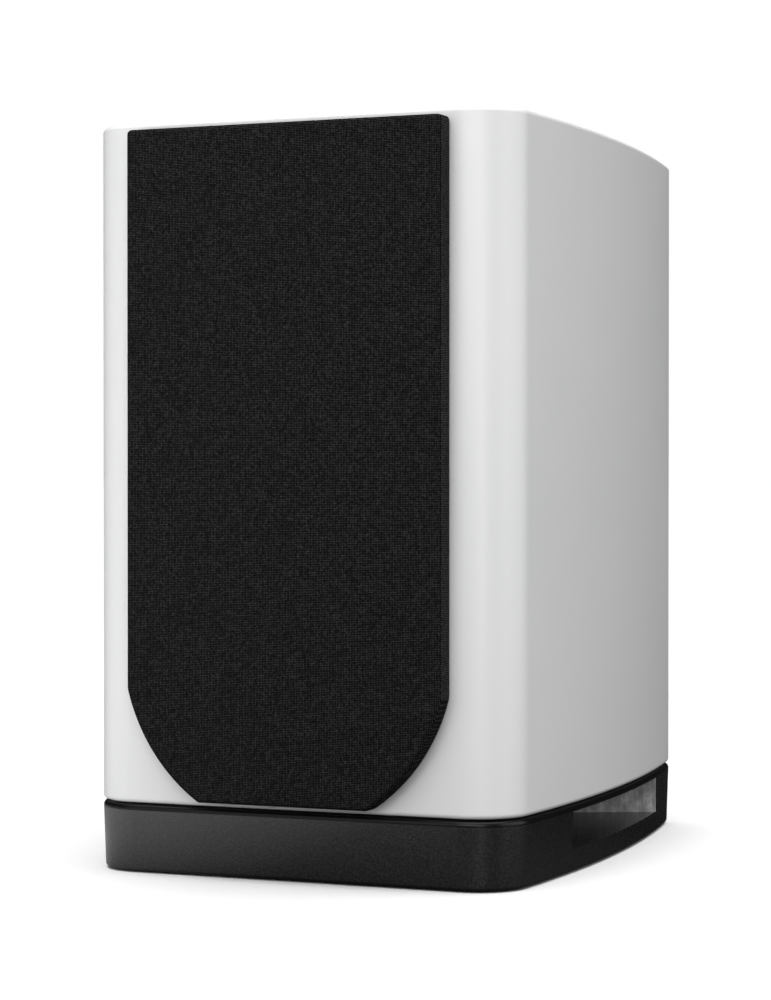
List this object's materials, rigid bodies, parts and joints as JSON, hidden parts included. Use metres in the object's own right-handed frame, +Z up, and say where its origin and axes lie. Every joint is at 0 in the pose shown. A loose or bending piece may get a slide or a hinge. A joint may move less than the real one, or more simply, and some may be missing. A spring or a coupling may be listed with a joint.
{
  "type": "bookshelf loudspeaker",
  "caption": "Compact two-way bookshelf loudspeaker with curved white cabinet, black cloth grille and grey vented plinth.",
  "frame": {"origin": "middle of the bounding box's underside, on the table plane", "axes": "+X to the right seen from the front, +Y to the back, +Z up; the grille faces -Y"},
  "size_m": [0.21, 0.2964, 0.3372],
  "materials": {
    "lacquer_white": "white satin-gloss lacquer over fibreboard",
    "fibreboard": "raw fibreboard",
    "plinth_grey": "dark grey fine-textured paint",
    "deflector_grey": "dark grey grained plastic",
    "grille_cloth": "fine black knitted acoustic cloth",
    "grille_plastic": "black moulded plastic",
    "magnet_nickel": "nickel-plated magnet",
    "rubber_black": "black rubber",
    "foam_black": "closed-cell black foam",
    "damping_felt": "grey polyester felt",
    "steel_zinc": "zinc-plated steel",
    "screw_black": "black oxide steel",
    "basket_grey": "black powder-coated cast frame",
    "ferrite": "sintered ferrite",
    "cone_dark": "dark fibre cone",
    "cap_dark": "dark moulded dome",
    "spider_cloth": "impregnated cotton",
    "copper": "enamelled copper winding",
    "faceplate_black": "black anodised plate",
    "film_amber": "amber polyimide film with aluminium traces",
    "chamber_black": "black moulded plastic",
    "board_green": "glass-fibre circuit board",
    "capacitor_film": "film capacitor sleeve",
    "resistor_ceramic": "white ceramic",
    "nylon_white": "nylon spacer",
    "cup_black": "black moulded plastic",
    "gold_plate": "gold-plated brass",
    "cap_red": "red plastic over brass",
    "cap_black": "black plastic over brass",
    "wire_sleeve": "insulated copper wire",
    "terminal_tin": "tinned brass tags on board"
  },
  "bodies": {
    "cabinet": {"air_deflector": "deflector_grey", "binding_post_nuts": "steel_zinc", "binding_post_studs": "gold_plate", "bottom_panel": "lacquer_white", "crossover_board": "board_green", "crossover_capacitors": "capacitor_film", "crossover_inductors": "copper", "crossover_resistors": "resistor_ceramic", "crossover_screws": "steel_zinc", "crossover_standoffs": "nylon_white", "damping_pads": "damping_felt", "driver_gaskets": "foam_black", "driver_leads": "wire_sleeve", "driver_terminals": "terminal_tin", "front_baffle": "lacquer_white", "input_leads": "wire_sleeve", "internal_brace": "fibreboard", "jumper_links": "gold_plate", "keeper_magnets": "magnet_nickel", "plinth_body": "plinth_grey", "plinth_cover": "plinth_grey", "plinth_screws": "steel_zinc", "plinth_seal": "foam_black", "port_tube": "chamber_black", "rear_panel": "lacquer_white", "rubber_feet": "rubber_black", "side_panel_left": "lacquer_white", "side_panel_right": "lacquer_white", "terminal_cup": "cup_black", "terminal_cup_screws": "screw_black", "top_panel": "lacquer_white", "tweeter_faceplate": "faceplate_black", "tweeter_film_frame": "chamber_black", "tweeter_magnets": "magnet_nickel", "tweeter_pleated_diaphragm": "film_amber", "tweeter_pole_plates": "screw_black", "tweeter_rear_chamber": "chamber_black", "tweeter_screws": "screw_black", "woofer_basket": "basket_grey", "woofer_front_pole_plate": "steel_zinc", "woofer_magnet": "ferrite", "woofer_screws": "screw_black", "woofer_trim_ring": "chamber_black", "woofer_yoke": "steel_zinc"},
    "grille": {"grille_frame": "grille_plastic", "grille_cloth": "grille_cloth", "grille_magnets": "magnet_nickel"},
    "cone": {"woofer_cone": "cone_dark", "woofer_dust_cap": "cap_dark", "woofer_voice_coil": "copper", "woofer_surround": "rubber_black", "woofer_spider": "spider_cloth"},
    "washer_treble_red": {"clamp_washer_treble_red": "gold_plate"},
    "cap_treble_red": {"binding_post_cap_treble_red": "cap_red"},
    "washer_treble_black": {"clamp_washer_treble_black": "gold_plate"},
    "cap_treble_black": {"binding_post_cap_treble_black": "cap_black"},
    "washer_bass_red": {"clamp_washer_bass_red": "gold_plate"},
    "cap_bass_red": {"binding_post_cap_bass_red": "cap_red"},
    "washer_bass_black": {"clamp_washer_bass_black": "gold_plate"},
    "cap_bass_black": {"binding_post_cap_bass_black": "cap_black"}
  },
  "joints": [
    {"name": "grille_pull", "type": "slide", "parent": "cabinet", "child": "grille", "axis": [0, -1, 0], "range_m": [0, 0.1]},
    {"name": "woofer_stroke", "type": "slide", "parent": "cabinet", "child": "cone", "axis": [0, -1, 0], "range_m": [-0.004, 0.004], "stiffness_N_per_m": 1000, "deforming": ["woofer_surround", "woofer_spider"]},
    {"name": "washer_slide_treble_red", "type": "slide", "parent": "cabinet", "child": "washer_treble_red", "axis": [0, 1, 0], "range_m": [0, 0.006]},
    {"name": "cap_turn_treble_red", "type": "hinge", "parent": "washer_treble_red", "child": "cap_treble_red", "pos_m": [-0.019, 0.1418, 0.137], "axis": [0, 1, 0], "range_deg": [0, 2160]},
    {"name": "washer_slide_treble_black", "type": "slide", "parent": "cabinet", "child": "washer_treble_black", "axis": [0, 1, 0], "range_m": [0, 0.006]},
    {"name": "cap_turn_treble_black", "type": "hinge", "parent": "washer_treble_black", "child": "cap_treble_black", "pos_m": [0.019, 0.1418, 0.137], "axis": [0, 1, 0], "range_deg": [0, 2160]},
    {"name": "washer_slide_bass_red", "type": "slide", "parent": "cabinet", "child": "washer_bass_red", "axis": [0, 1, 0], "range_m": [0, 0.006]},
    {"name": "cap_turn_bass_red", "type": "hinge", "parent": "washer_bass_red", "child": "cap_bass_red", "pos_m": [-0.019, 0.1418, 0.103], "axis": [0, 1, 0], "range_deg": [0, 2160]},
    {"name": "washer_slide_bass_black", "type": "slide", "parent": "cabinet", "child": "washer_bass_black", "axis": [0, 1, 0], "range_m": [0, 0.006]},
    {"name": "cap_turn_bass_black", "type": "hinge", "parent": "washer_bass_black", "child": "cap_bass_black", "pos_m": [0.019, 0.1418, 0.103], "axis": [0, 1, 0], "range_deg": [0, 2160]}
  ],
  "couplings": [
    {"joint": "cap_turn_treble_red", "follows": "washer_slide_treble_red", "rad_per_m": 6283.2},
    {"joint": "cap_turn_treble_black", "follows": "washer_slide_treble_black", "rad_per_m": 6283.2},
    {"joint": "cap_turn_bass_red", "follows": "washer_slide_bass_red", "rad_per_m": 6283.2},
    {"joint": "cap_turn_bass_black", "follows": "washer_slide_bass_black", "rad_per_m": 6283.2}
  ]
}
